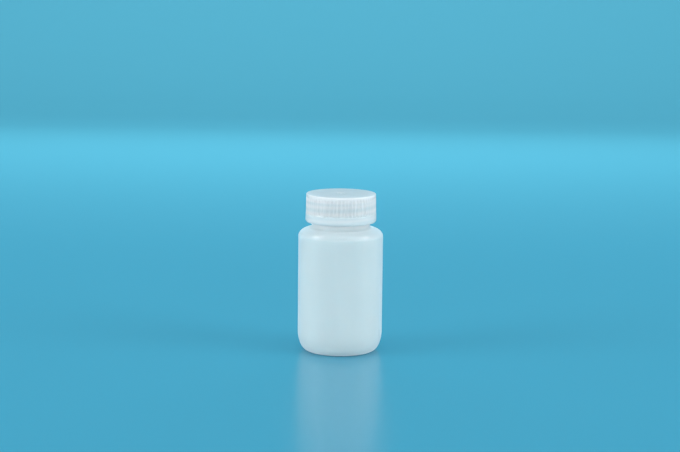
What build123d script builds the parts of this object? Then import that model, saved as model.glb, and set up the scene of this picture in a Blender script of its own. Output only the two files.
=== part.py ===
from build123d import *
from math import cos, radians, tan
import os

# Wide-mouth plastic reagent bottle of 125 ml: a blow-moulded bottle, a screw cap and a plug seal.
# Millimetres. The origin is on the bottle's axis, on the surface that it stands on, and +Z is up.

os.makedirs("parts", exist_ok=True)

# Bottle body
body_radius = 25.5          # outside, on the straight wall
body_wall = 1.2             # blown wall
shoulder_top = 75.0         # height of the shoulder where it meets the neck
shoulder_height = 5.0       # height that the shoulder's curve takes
heel_height = 11.8          # base corner, measured up the wall
heel_depth = 6.2            # base corner, measured in from the wall
ring_width = 2.6            # flat ring that the bottle stands on
push_up = 1.3               # rise of the base inside the ring
pinch_length = 24.0         # weld line that the blow mould leaves across the base
pinch_width = 0.8
pinch_height = 0.4

# Neck finish, 38 mm with six threads to the inch
neck_radius = 17.5          # at the root of the thread
neck_wall = 2.8
neck_height = 18.1          # from the shoulder to the rim
neck_fillet = 2.2           # neck to shoulder, outside
throat_fillet = 2.0         # neck to shoulder, inside
rim_fillet = 0.5
pitch = 25.4 / 6
thread_depth = 1.25
thread_root_width = 2.2
thread_crest_width = 1.0
neck_thread_start = 5.4     # centre of the ridge's lower end, above the shoulder
neck_run_out = 60.0         # radius of the cutter that fades the ridge out at its ends

# Plug seal
flange_thickness = 1.0
flange_overhang = 0.7       # beyond the neck's root
plug_wall = 1.2
plug_depth = 4.0
plug_lead = 0.6             # chamfer that guides the plug into the bore

# Cap
cap_plate = 1.6             # thickness of the top
cap_skirt_gap = 3.5         # neck left showing between the cap and the shoulder
cap_wall = 1.55             # from the bore to the foot of the grip ribs
cap_draft = 1.0             # degrees that the side widens downwards
cap_edge = 0.45             # radius of the top edge
skirt_edge = 1.6            # radius of the bottom edge
mouth_chamfer = 0.3         # inside the bottom edge
cap_turns_less = 0.25       # turns that the cap's thread is shorter than the neck's
cap_run_out = 10.0          # radius of the cutter that fades the inside ridge out at its ends
well_radius = 3.0           # gate well, a shallow round recess in the middle of the top
well_depth = 0.2
well_slope = 0.5
gate_radius = 0.9           # mark that the gate leaves in the well
gate_height = 0.12
top_band = 1.9              # plain band above the ribs
bottom_band = 5.3           # plain band below the ribs
band_step = 0.1             # bottom band stands proud of the ribs
rib_count = 60
rib_height = 0.35
rib_radius = 0.6

# Clearances
thread_gap = 0.3            # crest of each thread to the other piece's wall
plug_gap = 0.1              # plug to bore, all round
flange_gap = 0.2            # flange to the pocket in the cap, all round
float_gap = 0.05            # flange to the cap, above and below
bead_hold = 0.35            # how far the cap's bead reaches under the flange
edge_share = 0.95           # most of the skirt's bottom face that its edge radius may take
embed = 0.3                 # how deep a ridge or rib is sunk in the wall that carries it
run_out_sink = 0.1          # how far a run-out cutter passes the root of the ridge

# Levels and radii that follow
rim_level = shoulder_top + neck_height
bore_radius = neck_radius - neck_wall
flange_radius = neck_radius + flange_overhang
flange_top = rim_level + flange_thickness
plate_level = flange_top + float_gap
cap_top = plate_level + cap_plate
cap_bottom = shoulder_top + cap_skirt_gap
cap_bore = neck_radius + thread_depth + thread_gap
grip_bottom = cap_bottom + bottom_band
grip_top = cap_top - top_band
slope = tan(radians(cap_draft))
rib_crest_top = cap_bore + cap_wall + rib_height
neck_turns = (neck_height - neck_thread_start) / pitch - 1
cap_turns = neck_turns - cap_turns_less


def cap_side(level):
    """Radius of the cap's drafted side, over the ribs, at a height."""
    return rib_crest_top + (cap_top - level) * slope


def thread_ridge(root_radius, crest_radius, start_level, turns, run_out):
    """One right-hand thread ridge, sunk in the wall at its root and faded out at both ends."""
    outwards = 1 if crest_radius > root_radius else -1
    height = abs(crest_radius - root_radius)
    rise = pitch * turns
    cutter_radius = root_radius + outwards * (run_out - run_out_sink)
    with BuildPart() as ridge:
        with BuildLine() as spiral:
            Helix(pitch=pitch, height=rise, radius=root_radius, center=(0, 0, start_level))
        start_plane = Plane(spiral.line @ 0, x_dir=(outwards, 0, 0), z_dir=spiral.line % 0)
        with BuildSketch(start_plane):
            with BuildLine():
                Polyline(
                    (-embed, -thread_root_width / 2),
                    (0, -thread_root_width / 2),
                    (height, -thread_crest_width / 2),
                    (height, thread_crest_width / 2),
                    (0, thread_root_width / 2),
                    (-embed, thread_root_width / 2),
                    close=True,
                )
            make_face()
        sweep(path=spiral.line, is_frenet=True)
        for turn in (0, turns):
            with BuildSketch(Plane.XY.offset(start_level + pitch * (turn - 0.5))):
                with PolarLocations(cutter_radius, 1, start_angle=360 * turn):
                    Circle(run_out)
            extrude(amount=pitch, mode=Mode.SUBTRACT)
    return ridge.part


# Bottle: one turned outline, outside and inside, then the thread and the weld line.
ring_outer = body_radius - heel_depth
ring_inner = ring_outer - ring_width
shoulder_foot = shoulder_top - shoulder_height
inner_radius = body_radius - body_wall
inner_shoulder = shoulder_top - body_wall
neck_thread_level = shoulder_top + neck_thread_start

with BuildPart() as bottle:
    with BuildSketch(Plane.XZ):
        with BuildLine():
            # Outside, from the middle of the base to the rim
            TangentArc((0, push_up), (ring_inner, 0), tangent=(1, 0))
            Line((ring_inner, 0), (ring_outer, 0))
            EllipticalCenterArc((ring_outer, heel_height), heel_depth, heel_height, 270)
            Line((body_radius, heel_height), (body_radius, shoulder_foot))
            EllipticalCenterArc(
                (neck_radius, shoulder_foot), body_radius - neck_radius, shoulder_height,
            )
            Line((neck_radius, shoulder_top), (neck_radius, rim_level))
            Line((neck_radius, rim_level), (bore_radius, rim_level))
            # Inside, from the rim back to the middle of the base
            Line((bore_radius, rim_level), (bore_radius, inner_shoulder + throat_fillet))
            TangentArc(
                (bore_radius, inner_shoulder + throat_fillet),
                (bore_radius + throat_fillet, inner_shoulder), tangent=(0, -1),
            )
            Line((bore_radius + throat_fillet, inner_shoulder), (neck_radius, inner_shoulder))
            EllipticalCenterArc(
                (neck_radius, shoulder_foot),
                inner_radius - neck_radius, inner_shoulder - shoulder_foot,
            )
            Line((inner_radius, shoulder_foot), (inner_radius, heel_height))
            EllipticalCenterArc(
                (ring_outer, heel_height),
                heel_depth - body_wall, heel_height - body_wall, 270,
            )
            Line((ring_outer, body_wall), (ring_inner, body_wall))
            TangentArc((0, push_up + body_wall), (ring_inner, body_wall), tangent=(1, 0))
            Line((0, push_up + body_wall), (0, push_up))
        make_face()
    revolve(axis=Axis.Z)
    circles = bottle.edges().filter_by(GeomType.CIRCLE)
    fillet(circles.group_by(Axis.Z)[-1], radius=rim_fillet)
    neck_foot = circles.filter_by_position(Axis.Z, shoulder_top - embed, shoulder_top + embed)
    fillet(neck_foot, radius=neck_fillet)
    neck_crest = neck_radius + thread_depth
    add(thread_ridge(neck_radius, neck_crest, neck_thread_level, neck_turns, neck_run_out))
    with BuildSketch(Plane.XY.offset(push_up - pinch_height)):
        SlotOverall(pinch_length, pinch_width)
    extrude(amount=pinch_height + body_wall / 2)
bottle.part.label = "bottle"

# Plug seal: a flange that lies on the rim, with a short hollow plug in the bore.
plug_radius = bore_radius - plug_gap

with BuildPart() as seal:
    with BuildSketch(Plane.XY.offset(rim_level)):
        Circle(flange_radius)
    extrude(amount=flange_thickness)
    with BuildSketch(Plane.XY.offset(rim_level)):
        Circle(plug_radius)
        Circle(plug_radius - plug_wall, mode=Mode.SUBTRACT)
    extrude(amount=-plug_depth)
    plug_edges = seal.edges().filter_by(GeomType.CIRCLE).group_by(Axis.Z)[0]
    chamfer(plug_edges.sort_by(SortBy.RADIUS)[-1], length=plug_lead)
seal.part.label = "seal"

# Cap: one turned outline, then the ribs, the inside thread and the mark of the gate.
pocket_radius = flange_radius + flange_gap
bead_radius = flange_radius - bead_hold
bead_top = rim_level - float_gap
bead_rise = pocket_radius - bead_radius
bead_ramp = cap_bore - bead_radius
grip_root_top = cap_side(grip_top) - rib_height
grip_root_bottom = cap_side(grip_bottom) - rib_height
cap_thread_level = neck_thread_level + pitch / 2
skirt_width = cap_side(cap_bottom) + band_step - cap_bore
skirt_radius = min(skirt_edge, edge_share * (skirt_width - mouth_chamfer))

with BuildPart() as rib:
    foot = (cap_side(grip_bottom - embed) - rib_radius, 0, grip_bottom - embed)
    with BuildSketch(Plane(foot, x_dir=(1, 0, slope), z_dir=(-slope, 0, 1))):
        Circle(rib_radius)
    extrude(amount=(grip_top - grip_bottom + 2 * embed) / cos(radians(cap_draft)))

with BuildPart() as cap:
    with BuildSketch(Plane.XZ):
        with BuildLine():
            Polyline(
                (0, cap_top - well_depth),
                (well_radius - well_slope, cap_top - well_depth),
                (well_radius, cap_top),
                (cap_side(cap_top), cap_top),
                (cap_side(grip_top), grip_top),
                (grip_root_top, grip_top),
                (grip_root_bottom, grip_bottom),
                (cap_side(grip_bottom) + band_step, grip_bottom),
                (cap_side(cap_bottom) + band_step, cap_bottom),
                (cap_bore, cap_bottom),
                (cap_bore, bead_top - 2 * bead_rise - bead_ramp),
                (bead_radius, bead_top - 2 * bead_rise),
                (bead_radius, bead_top - bead_rise),
                (pocket_radius, bead_top),
                (pocket_radius, plate_level),
                (0, plate_level),
                close=True,
            )
        make_face()
    revolve(axis=Axis.Z)
    circles = cap.edges().filter_by(GeomType.CIRCLE)
    fillet(circles.group_by(Axis.Z)[-1].sort_by(SortBy.RADIUS)[-1], radius=cap_edge)
    fillet(circles.group_by(Axis.Z)[0].sort_by(SortBy.RADIUS)[-1], radius=skirt_radius)
    mouth_edge = cap.edges().filter_by(GeomType.CIRCLE).group_by(Axis.Z)[0].sort_by(SortBy.RADIUS)[0]
    chamfer(mouth_edge, length=mouth_chamfer)
    with PolarLocations(0, rib_count):
        add(rib.part)
    cap_crest = neck_radius + thread_gap
    add(thread_ridge(cap_bore, cap_crest, cap_thread_level, cap_turns, cap_run_out))
    with BuildSketch(Plane.XY.offset(cap_top - well_depth)):
        Circle(gate_radius)
    extrude(amount=gate_height)
cap.part.label = "cap"

for piece in (bottle, seal, cap):
    export_step(piece.part, f"parts/{piece.part.label}.step")
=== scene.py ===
from math import atan2, cos, degrees, hypot, pi, radians, sin, sqrt, tan

import bmesh
import bpy
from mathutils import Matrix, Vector


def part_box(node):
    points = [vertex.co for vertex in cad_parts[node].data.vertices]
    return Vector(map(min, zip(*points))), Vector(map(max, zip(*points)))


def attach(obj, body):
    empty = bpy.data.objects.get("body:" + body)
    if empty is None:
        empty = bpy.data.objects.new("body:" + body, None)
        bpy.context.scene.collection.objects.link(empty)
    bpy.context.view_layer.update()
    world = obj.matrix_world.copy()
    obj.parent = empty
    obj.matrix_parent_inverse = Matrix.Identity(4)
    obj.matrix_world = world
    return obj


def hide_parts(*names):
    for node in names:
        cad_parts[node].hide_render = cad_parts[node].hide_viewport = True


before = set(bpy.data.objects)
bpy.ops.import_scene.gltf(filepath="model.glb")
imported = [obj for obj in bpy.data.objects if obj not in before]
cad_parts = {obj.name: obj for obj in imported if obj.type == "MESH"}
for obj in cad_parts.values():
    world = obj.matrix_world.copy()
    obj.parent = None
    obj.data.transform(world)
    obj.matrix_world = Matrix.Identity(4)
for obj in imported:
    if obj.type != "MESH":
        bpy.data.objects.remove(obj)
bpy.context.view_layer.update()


# ---------------------------------------------------------------------------------------------
# Bottle. One blown shell of natural polyethylene, 1.2 mm thick below the neck, with the thicker 38 mm
# threaded neck formed in the same mould. The mould's two halves leave a fine line up both sides, and
# the pinched end of the tube leaves a short weld line under the base.

body_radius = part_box("bottle")[1].x
rim_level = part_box("bottle")[1].z
body_wall = 0.0012
shoulder_top = 0.0750
shoulder_height = 0.0050
heel_height = 0.0118
heel_depth = 0.0062
ring_width = 0.0026
push_up = 0.0013
ring_edge = 0.0004
pinch_height = 0.0004
pinch_half_width = 0.0004
pinch_slope = 0.00012
seam_height = 0.00005
seam_crest = 0.00012
seam_foot = 0.00035
neck_radius = 0.0175
neck_wall = 0.0028
neck_fillet = 0.0022
throat_fillet = 0.0020
rim_fillet = 0.0005
pitch = 0.0254 / 6
thread_depth = 0.00125
thread_foot = 0.0012
thread_flank = 0.0008
thread_run_out = 0.06
neck_turns = 2.0
neck_thread_start = 0.0054
neck_thread_level = shoulder_top + neck_thread_start
bore_radius = neck_radius - neck_wall
inner_radius = body_radius - body_wall
# Heights where the neck's painted light gives way to the body's painted blue, and where the painted
# shade on the shoulder's bend comes in.
neck_light_foot = 0.0785
body_blue_top = 0.0730
bend_shade_full = 0.0720
bend_shade_foot = 0.0695
bottle_columns = 192
neck_row = 0.00012
body_row = 0.004
same_place = 1e-7
hair = 1e-5
just_past = 0.0001
well_past = 0.001


def arc(centre, across, up, start, end, steps=8):
    """Points of an elliptical arc in the plane of radius and height; 0 degrees points outwards."""
    points = []
    for step in range(steps + 1):
        angle = radians(start + (end - start) * step / steps)
        points.append((centre[0] + across * cos(angle), centre[1] + up * sin(angle)))
    return points


def turned(outline, columns, rows):
    """A mesh of the outline spun about the axis; rows gives (bottom, top, tallest row) of a stretch."""
    mesh = bmesh.new()
    corners = [mesh.verts.new((radius, 0, height)) for radius, height in outline]
    edges = [mesh.edges.new(pair) for pair in zip(corners, corners[1:])]
    for edge in edges:
        low, high = sorted(vert.co.z for vert in edge.verts)
        length = edge.calc_length()
        for bottom, top, size in rows:
            if low > bottom and high < top and length > size:
                bmesh.ops.subdivide_edges(mesh, edges=[edge], cuts=int(length / size))
                break
    bmesh.ops.spin(
        mesh, geom=mesh.verts[:] + mesh.edges[:], cent=(0, 0, 0), axis=(0, 0, 1),
        angle=2 * pi, steps=columns, use_merge=True,
    )
    bmesh.ops.remove_doubles(mesh, verts=mesh.verts, dist=same_place)
    bmesh.ops.recalc_face_normals(mesh, faces=mesh.faces)
    return mesh


def slice_along(mesh, offsets):
    """Adds edge lines along the X axis, on both sides of it, for a narrow line of detail."""
    for offset in offsets:
        for side_y in (-offset, offset):
            bmesh.ops.bisect_plane(
                mesh, geom=mesh.verts[:] + mesh.edges[:] + mesh.faces[:], dist=same_place,
                plane_co=(0, side_y, 0), plane_no=(0, 1, 0),
            )


def smooth(value):
    """0 below 0, 1 above 1, and an even S between them."""
    value = min(max(value, 0), 1)
    return value * value * (3 - 2 * value)


def ridge(vert, level, turns):
    """How high the thread's ridge stands at a point of the wall, from 0 to 1."""
    turn = atan2(vert.co.y, vert.co.x) / (2 * pi) % 1
    turn += round((vert.co.z - level) / pitch - turn)
    offset = abs(vert.co.z - level - pitch * turn)
    ends = smooth(min(turn, turns - turn) / thread_run_out)
    return ends * smooth((thread_foot - offset) / thread_flank)


def move_out(vert, distance):
    """Moves a point straight out from the axis, or in where the distance is negative."""
    grown = 1 + distance / hypot(vert.co.x, vert.co.y)
    vert.co.x *= grown
    vert.co.y *= grown


def piece(name, mesh):
    """Makes the mesh an object with smooth shading."""
    data = bpy.data.meshes.new(name)
    mesh.to_mesh(data)
    mesh.free()
    data.shade_smooth()
    made = bpy.data.objects.new(name, data)
    bpy.context.scene.collection.objects.link(made)
    return made


ring_outer = body_radius - heel_depth
ring_inner = ring_outer - ring_width
shoulder_foot = shoulder_top - shoulder_height
inner_shoulder = shoulder_top - body_wall
dome = [step / 10 for step in range(1, 10)]

# The neck's fillet leaves the shoulder's curve where both have nearly the same slope.
fillet_leaves = 76.5
shoulder_curve = arc(
    (neck_radius, shoulder_foot), body_radius - neck_radius, shoulder_height, 0, fillet_leaves, 20,
)
leave_radius, leave_height = shoulder_curve[-1]
fillet_across = neck_radius + neck_fillet - leave_radius
fillet_rise = sqrt(neck_fillet ** 2 - fillet_across ** 2)
fillet_centre = (neck_radius + neck_fillet, leave_height + fillet_rise)
fillet_start = 180 + degrees(atan2(fillet_rise, fillet_across))

outside = (
    [(0, push_up)]
    + [(ring_inner * share, push_up * (1 - share * share)) for share in dome]
    + [(ring_inner, 0), (ring_outer - ring_edge, 0)]
    + arc((ring_outer, heel_height), heel_depth, heel_height, 270, 360, 24)
    + shoulder_curve
    + arc(fillet_centre, neck_fillet, neck_fillet, fillet_start, 180, 8)[1:]
    + arc((neck_radius - rim_fillet, rim_level - rim_fillet), rim_fillet, rim_fillet, 0, 90, 6)
)
inside = (
    arc((bore_radius + rim_fillet, rim_level - rim_fillet), rim_fillet, rim_fillet, 90, 180, 6)
    + arc((bore_radius + throat_fillet, inner_shoulder + throat_fillet),
          throat_fillet, throat_fillet, 180, 270, 8)
    + arc((neck_radius, shoulder_foot),
          inner_radius - neck_radius, inner_shoulder - shoulder_foot, 90, 0, 16)
    + arc((ring_outer, heel_height), heel_depth - body_wall, heel_height - body_wall, 360, 270, 16)
    + [(ring_inner, body_wall)]
    + [(ring_inner * share, push_up * (1 - share * share) + body_wall) for share in reversed(dome)]
    + [(0, push_up + body_wall)]
)
mesh = turned(outside + inside, bottle_columns, [
    (fillet_centre[1] - just_past, rim_level, neck_row),
    (heel_height / 2, shoulder_foot + well_past, body_row),
])
slice_along(mesh, (seam_crest, pinch_half_width - pinch_slope, seam_foot, pinch_half_width))
for vert in mesh.verts:
    radius = hypot(vert.co.x, vert.co.y)
    beside = abs(vert.co.y)
    if radius > neck_radius - hair and vert.co.z > fillet_centre[1]:
        move_out(vert, thread_depth * ridge(vert, neck_thread_level, neck_turns))
    if radius > max(ring_outer, inner_radius + just_past) or vert.co.z > inner_shoulder + just_past:
        if radius > bore_radius + neck_wall / 2:
            move_out(vert, -seam_height * smooth((beside - seam_crest) / (seam_foot - seam_crest)))
    if radius < ring_inner and vert.co.z < push_up + hair and beside < pinch_half_width - hair:
        vert.co.z = min(vert.co.z, push_up - pinch_height)
bottle = piece("bottle_shell", mesh)


class Link:
    """A shader socket that can be used in sums."""

    def __init__(self, tree, socket):
        self.tree = tree
        self.socket = socket

    def maths(self, operation, first, second):
        node = self.tree.nodes.new("ShaderNodeMath")
        node.operation = operation
        for place, value in enumerate((first, second)):
            if isinstance(value, Link):
                self.tree.links.new(value.socket, node.inputs[place])
            else:
                node.inputs[place].default_value = value
        return Link(self.tree, node.outputs[0])

    def __add__(self, other):
        return self.maths("ADD", self, other)

    def __radd__(self, other):
        return self.maths("ADD", other, self)

    def __sub__(self, other):
        return self.maths("SUBTRACT", self, other)

    def __rsub__(self, other):
        return self.maths("SUBTRACT", other, self)

    def __mul__(self, other):
        return self.maths("MULTIPLY", self, other)

    def __rmul__(self, other):
        return self.maths("MULTIPLY", other, self)


class Finish:
    """A material with one Principled shader, and one method that adds any other node."""

    def __init__(self, name, **values):
        self.material = bpy.data.materials.new(name)
        self.material.use_nodes = True
        self.tree = self.material.node_tree
        self.tree.nodes.clear()
        self.shader = self.tree.nodes.new("ShaderNodeBsdfPrincipled")
        output = self.tree.nodes.new("ShaderNodeOutputMaterial")
        self.tree.links.new(self.shader.outputs[0], output.inputs["Surface"])
        for socket, value in values.items():
            self.join(self.shader, socket.replace("_", " "), value)

    def join(self, node, socket, value):
        if isinstance(value, Link):
            self.tree.links.new(value.socket, node.inputs[socket])
        else:
            node.inputs[socket].default_value = value

    def node(self, kind, output, inputs, **settings):
        node = self.tree.nodes.new("ShaderNode" + kind)
        for setting, value in settings.items():
            setattr(node, setting, value)
        for socket, value in inputs.items():
            self.join(node, socket, value)
        return Link(self.tree, node.outputs[output])

    def place(self, *stretch):
        """Object coordinates, stretched along X, Y and Z."""
        here = self.node("TexCoord", "Object", {})
        return self.node("Mapping", "Vector", {"Vector": here, "Scale": stretch or (1, 1, 1)})

    def across(self, axis):
        """How far along one axis a point of the piece lies."""
        return self.node("SeparateXYZ", axis, {"Vector": self.place()})

    def noise(self, size, detail, *stretch):
        """Noise from 0 to 1 with lumps of about size metres."""
        return self.node("TexNoise", "Fac", {
            "Vector": self.place(*stretch), "Scale": 1 / size, "Detail": detail, "Roughness": 0.5,
        })

    def step(self, value, start, end):
        """0 where value is start, 1 where it is end, with an even S between them."""
        return self.node("MapRange", "Result", {
            "Value": value, "From Min": start, "From Max": end,
        }, interpolation_type="SMOOTHSTEP")

    def blend(self, share, first, second):
        """The first colour where share is 0, the second where it is 1."""
        colour, other = 6, 7
        return self.node("Mix", 2, {
            "Factor": share, colour: first, other: second,
        }, data_type="RGBA")

    def bump(self, relief, depth):
        normal = self.node("Bump", "Normal", {"Height": relief, "Distance": depth})
        self.join(self.shader, "Normal", normal)


# The neck is whitest: the plastic's own white, brightened as painted light where the cap shades it.
# The thin body is painted blue, standing in for the blue backdrop's light showing through the wall.
# The painted shade on the shoulder's bend evens out the studio light, which falls hardest there.
# Faint streaks follow the tube's draw.
neck_white_and_painted_light = (0.985, 0.997, 0.997, 1)
body_painted_backdrop_blue = (0.66, 0.905, 0.945, 1)
bend_painted_shade = (0.70, 0.80, 0.83, 1)
polyethylene = Finish(
    "natural_polyethylene",
    IOR=1.5,
    Transmission_Weight=0.42,
    Subsurface_Weight=1.0,
    Subsurface_Radius=(1.0, 1.0, 1.0),
    Subsurface_Scale=0.0040,
    Sheen_Weight=0.95,
    Sheen_Roughness=0.45,
    Sheen_Tint=(0.86, 0.96, 1.0, 1),
)
level = polyethylene.across("Z")
# Share of the body's painted blue, below the neck's painted light.
below_neck = polyethylene.step(level, neck_light_foot, body_blue_top)
# Painted shade on the shoulder's bend.
bend_shade = below_neck * polyethylene.step(level, bend_shade_foot, bend_shade_full)
streaks = polyethylene.noise(0.004, 3, 1, 1, 0.06)
clouds = polyethylene.noise(0.012, 2)
# The body's painted blue of the backdrop's light, with random streaks and clouds of tone.
painted_blue_and_streaks = below_neck * 0.50 + streaks * 0.12 + clouds * 0.10
colour = polyethylene.blend(painted_blue_and_streaks, neck_white_and_painted_light, body_painted_backdrop_blue)
colour = polyethylene.blend(bend_shade, colour, bend_painted_shade)
polyethylene.join(polyethylene.shader, "Base Color", colour)
skin = polyethylene.noise(0.0007, 2)
polyethylene.join(polyethylene.shader, "Roughness", 0.12 + 0.04 * skin + 0.04 * streaks)
polyethylene.bump(clouds * 0.75 + streaks * 0.2 + skin * 0.05, 0.00006)
bottle.data.materials.append(polyethylene.material)
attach(bottle, "bottle")
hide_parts("bottle")


# ---------------------------------------------------------------------------------------------
# Plug seal. A soft moulded disc that lies on the rim inside the cap, with a short hollow plug
# that enters the bore.

seal_low, seal_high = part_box("seal")
flange_radius = seal_high.x
flange_top = seal_high.z
plug_bottom = seal_low.z
plug_gap = 0.0001
plug_radius = bore_radius - plug_gap
plug_wall = 0.0012
plug_lead = 0.0006
edge = 0.00025
seal_columns = 128

mesh = turned(
    [(0, flange_top)]
    + arc((flange_radius - edge, flange_top - edge), edge, edge, 90, 0, 4)
    + arc((flange_radius - edge, rim_level + edge), edge, edge, 0, -90, 4)
    + [(plug_radius + edge, rim_level), (plug_radius, rim_level - edge)]
    + [(plug_radius, plug_bottom + plug_lead), (plug_radius - plug_lead, plug_bottom)]
    + [(plug_radius - plug_wall + edge, plug_bottom), (plug_radius - plug_wall, plug_bottom + edge)]
    + arc((plug_radius - plug_wall - edge, rim_level - edge), edge, edge, 0, 90, 4)
    + [(0, rim_level)],
    seal_columns, [],
)
seal = piece("plug_seal", mesh)

soft_polyethylene = Finish(
    "soft_polyethylene",
    IOR=1.5,
    Subsurface_Weight=1.0,
    Subsurface_Radius=(1.0, 1.0, 1.0),
    Subsurface_Scale=0.0015,
)
flow = soft_polyethylene.noise(0.006, 3)
soft_polyethylene.join(soft_polyethylene.shader, "Base Color", soft_polyethylene.blend(
    flow, (0.94, 0.955, 0.96, 1), (0.90, 0.93, 0.945, 1),
))
grain = soft_polyethylene.noise(0.0005, 2)
soft_polyethylene.join(soft_polyethylene.shader, "Roughness", 0.32 + 0.1 * grain)
soft_polyethylene.bump(flow * 0.8 + grain * 0.2, 0.00004)
seal.data.materials.append(soft_polyethylene.material)
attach(seal, "seal")
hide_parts("seal")


# ---------------------------------------------------------------------------------------------
# Cap. A moulded polypropylene screw cap: sixty fine grip ribs between two plain bands, a small
# gate well in the middle of the flat top, and the thread and the seal's bead inside.

cap_low, cap_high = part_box("cap")
cap_bottom = cap_low.z
cap_top = cap_high.z
thread_gap = 0.0003
cap_bore = neck_radius + thread_depth + thread_gap
cap_plate = 0.0016
cap_turns_less = 0.25
cap_turns = neck_turns - cap_turns_less
cap_thread_level = neck_thread_level + pitch / 2
cap_thread_reach = cap_bore - neck_radius - thread_gap
top_edge = 0.00045
skirt_edge = 0.0016
mouth_chamfer = 0.0003
slope = tan(radians(1.0))
rib_count = 60
rib_height = 0.00035
rib_radius = 0.0006
rib_end = 0.00025
band_step = 0.0001
top_band = 0.0019
bottom_band = 0.0053
cap_wall = 0.00155
grip_top = cap_top - top_band
grip_bottom = cap_bottom + bottom_band
crest = cap_bore + cap_wall + rib_height
well_radius = 0.0030
well_depth = 0.0002
well_slope = 0.0005
gate_radius = 0.0009
gate_slope = 0.0002
gate_height = 0.00012
flange_gap = 0.0002
bead_hold = 0.00035
float_gap = 0.00005
pocket_radius = flange_radius + flange_gap
bead_radius = flange_radius - bead_hold
bead_top = rim_level - float_gap
bead_rise = pocket_radius - bead_radius
bead_foot = bead_top - 2 * bead_rise - (cap_bore - bead_radius)
columns_per_rib = 8
rib_row = 0.0012
bore_row = 0.00018
skirt_fade = 0.001
# Radii past the bore where the side's painted shade fades in.
side_shade_start = 0.0004
side_shade_full = 0.0012


def side(height):
    """Radius of the cap's tapered side over the ribs."""
    return crest + (cap_top - height) * slope


skirt_centre = side(cap_bottom + skirt_edge) + band_step - skirt_edge
well_floor = cap_top - well_depth
outline = (
    [(0, well_floor + gate_height), (gate_radius - gate_slope, well_floor + gate_height)]
    + [(gate_radius, well_floor), (well_radius - well_slope, well_floor)]
    + arc((well_radius, cap_top - well_depth / 2), well_slope / 2, well_depth / 2, 180, 90, 4)
    + arc((side(cap_top) - top_edge, cap_top - top_edge), top_edge, top_edge, 90, 0, 8)
    + [(side(grip_top), grip_top), (side(grip_top) + rib_end * slope, grip_top - rib_end)]
    + [(side(grip_bottom) - rib_end * slope, grip_bottom + rib_end), (side(grip_bottom), grip_bottom)]
    + [(side(grip_bottom) + band_step, grip_bottom - band_step)]
    + arc((skirt_centre, cap_bottom + skirt_edge), skirt_edge, skirt_edge, 0, -90, 10)
    + [(cap_bore + mouth_chamfer, cap_bottom), (cap_bore, cap_bottom + mouth_chamfer)]
    + [(cap_bore, bead_foot), (bead_radius, bead_top - 2 * bead_rise)]
    + [(bead_radius, bead_top - bead_rise), (pocket_radius, bead_top)]
    + [(pocket_radius, cap_top - cap_plate), (0, cap_top - cap_plate)]
)
mesh = turned(outline, rib_count * columns_per_rib, [
    (grip_bottom - hair, grip_top + hair, rib_row),
    (cap_bottom + mouth_chamfer / 2, bead_foot + hair, bore_row),
])
for vert in mesh.verts:
    radius = hypot(vert.co.x, vert.co.y)
    if abs(radius - cap_bore) < hair:
        move_out(vert, -cap_thread_reach * ridge(vert, cap_thread_level, cap_turns))
    elif radius > cap_bore + well_past and grip_bottom < vert.co.z < grip_top:
        across = (atan2(vert.co.y, vert.co.x) * rib_count / (2 * pi) + 0.5) % 1 - 0.5
        across *= 2 * pi * radius / rib_count
        swell = sqrt(max(rib_radius ** 2 - across ** 2, 0)) - (rib_radius - rib_height)
        reach = min(vert.co.z - grip_bottom, grip_top - vert.co.z)
        move_out(vert, (max(swell, 0) - rib_height) * smooth(reach / rib_end))
cap = piece("screw_cap", mesh)

# The top is painted whitest, as painted light, and the side is painted darker, as painted shade. The
# side's painted shade is least along the line of the cap's own thread and most between that thread's
# turns, as painted shadows of the threads seen through the wall, and on the plain skirt.
top_painted_light = (0.97, 0.985, 0.99, 1)
side_painted_shade = (0.70, 0.835, 0.88, 1)
polypropylene = Finish(
    "natural_polypropylene",
    IOR=1.49,
    Transmission_Weight=0.30,
    Subsurface_Weight=1.0,
    Subsurface_Radius=(1.0, 1.0, 1.0),
    Subsurface_Scale=0.0080,
    Sheen_Weight=0.06,
    Sheen_Roughness=0.35,
    Sheen_Tint=(0.80, 0.94, 1.0, 1),
)
flow = polypropylene.noise(0.005, 3)
grain = polypropylene.noise(0.0006, 2)
flat = polypropylene.place(1, 1, 0)
from_axis = polypropylene.node("VectorMath", "Value", {0: flat}, operation="LENGTH")
turn = polypropylene.node("Math", "Value", {
    0: polypropylene.across("Y"), 1: polypropylene.across("X"),
}, operation="ARCTAN2")
climb = polypropylene.across("Z") * (2 * pi / pitch) - turn
# Painted shadows of the threads seen through the wall, following the thread's helix.
thread_shadow_phase = polypropylene.node("Math", "Value", {
    0: climb - 2 * pi * cap_thread_level / pitch,
}, operation="COSINE")
# Painted shade on the cap's outer side, fading out towards the top.
side_shade_mask = polypropylene.step(from_axis, cap_bore + side_shade_start, cap_bore + side_shade_full)
side_shade_mask = side_shade_mask * polypropylene.step(polypropylene.across("Z"), bead_top, bead_foot)
# Deeper painted shade on the plain skirt below the ribs.
skirt_shade_mask = polypropylene.step(
    polypropylene.across("Z"), grip_bottom + skirt_fade, grip_bottom - skirt_fade,
)
# Painted shade on the side and skirt, with random flow tone.
painted_shade_and_flow = flow * 0.14 + side_shade_mask * (0.54 - 0.30 * thread_shadow_phase) + skirt_shade_mask * 0.30
polypropylene.join(
    polypropylene.shader, "Base Color", polypropylene.blend(painted_shade_and_flow, top_painted_light, side_painted_shade),
)
polypropylene.join(polypropylene.shader, "Roughness", 0.20 + 0.05 * flow + 0.05 * grain)
polypropylene.bump(flow * 0.9 + grain * 0.1, 0.00002)
cap.data.materials.append(polypropylene.material)
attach(cap, "cap")
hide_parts("cap")


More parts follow.
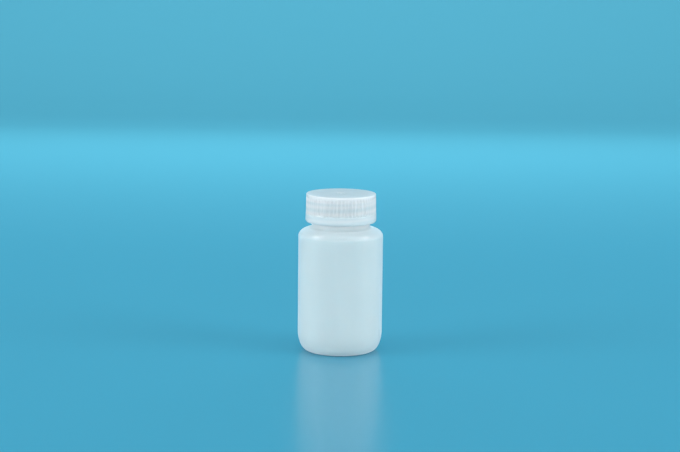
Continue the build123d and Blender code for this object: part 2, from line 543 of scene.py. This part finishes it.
# ---------------------------------------------------------------------------------------------
# Studio. A plain blue sweep of card. On each side: a soft box, a low fill, and a tall lamp that shows
# on gloss but doesn't light what is matt. Low fills in front and behind, a wide one overhead and a
# pale sky lift the shadows, and one more lamp lights the sweep at the back.

floor_level = -0.00005
floor_back = 1.2
sweep_radius = 0.8
wall_height = 3.0
half_width = 3.0
floor_front = -2.5
# The card is painted a darker blue near the front, on the floor, and lighter up the wall: painted shade
# on the floor.
near_shaded_blue = (0.042, 0.282, 0.415, 1)
far_blue = (0.098, 0.415, 0.55, 1)
near_end = 0.2
far_end = 1.3

mesh = bmesh.new()
profile = [(floor_front, floor_level)]
for angle in range(0, 91, 10):
    profile.append((floor_back + sweep_radius * sin(radians(angle)),
                    floor_level + sweep_radius - sweep_radius * cos(radians(angle))))
profile.append((floor_back + sweep_radius, wall_height))
corners = [mesh.verts.new((-half_width, y, z)) for y, z in profile]
edges = [mesh.edges.new(pair) for pair in zip(corners, corners[1:])]
grown = bmesh.ops.extrude_edge_only(mesh, edges=edges)
bmesh.ops.translate(
    mesh, vec=(2 * half_width, 0, 0),
    verts=[item for item in grown["geom"] if isinstance(item, bmesh.types.BMVert)],
)
bmesh.ops.recalc_face_normals(mesh, faces=mesh.faces)
backdrop = piece("backdrop", mesh)
card = Finish("blue_card", Roughness=0.25)
far_share = card.step(card.across("Y"), near_end, far_end)
card.join(card.shader, "Base Color", card.blend(far_share, near_shaded_blue, far_blue))
backdrop.data.materials.append(card.material)


def soft_box(name, place, aim, size, power, shine, light_up=True):
    """An area light that faces a point. Each of them either shows in reflections or doesn't, and
    either lights what is matt or doesn't."""
    light = bpy.data.lights.new(name, "AREA")
    light.shape = "RECTANGLE"
    light.size, light.size_y = size
    light.energy = power
    lamp = bpy.data.objects.new(name, light)
    lamp.location = place
    lamp.rotation_euler = (Vector(place) - Vector(aim)).to_track_quat("Z", "Y").to_euler()
    lamp.visible_glossy = shine
    lamp.visible_diffuse = light_up
    lamp.visible_camera = False
    bpy.context.scene.collection.objects.link(lamp)


middle = (0, 0, shoulder_top / 2)
for name, side_x in (("left", -1), ("right", 1)):
    soft_box(name + "_soft_box", (1.1 * side_x, -0.42, 0.60), middle, (0.8, 0.5), 6.0, False)
    soft_box(name + "_shine", (0.9 * side_x, -0.03, 1.05), middle, (0.26, 0.70), 7.0, True, False)
    soft_box(name + "_fill", (1.5 * side_x, -0.5, 0.20), middle, (0.8, 0.3), 10.5, False)
soft_box("front_fill", (0, -1.9, 0.11), middle, (1.6, 0.20), 17, False)
soft_box("back_fill", (0, 1.1, 0.45), middle, (1.4, 0.4), 4.5, False)
soft_box("overhead", (0, -0.2, 1.8), middle, (1.6, 1.2), 6.5, False)
soft_box("backdrop_light", (0, 0.6, 1.9), (0, 2.0, 0.9), (2.4, 0.6), 16, False)

world = bpy.data.worlds.new("fill")
world.use_nodes = True
world.node_tree.nodes["Background"].inputs["Color"].default_value = (0.74, 0.91, 1.0, 1)
world.node_tree.nodes["Background"].inputs["Strength"].default_value = 0.52
bpy.context.scene.world = world
bpy.context.scene.view_settings.view_transform = "Standard"

camera_data = bpy.data.cameras.new("camera")
camera_data.lens = 106.75
camera_data.sensor_width = 36
camera_data.clip_end = 20
camera = bpy.data.objects.new("camera", camera_data)
camera.location = (-0.000506, -1.2, 0.26851)
camera_dip = 9.124
camera_roll = 0.624
camera.rotation_euler = (radians(90 - camera_dip), 0, 0)
camera.rotation_euler.rotate_axis("Z", radians(camera_roll))
bpy.context.scene.collection.objects.link(camera)
bpy.context.scene.camera = camera
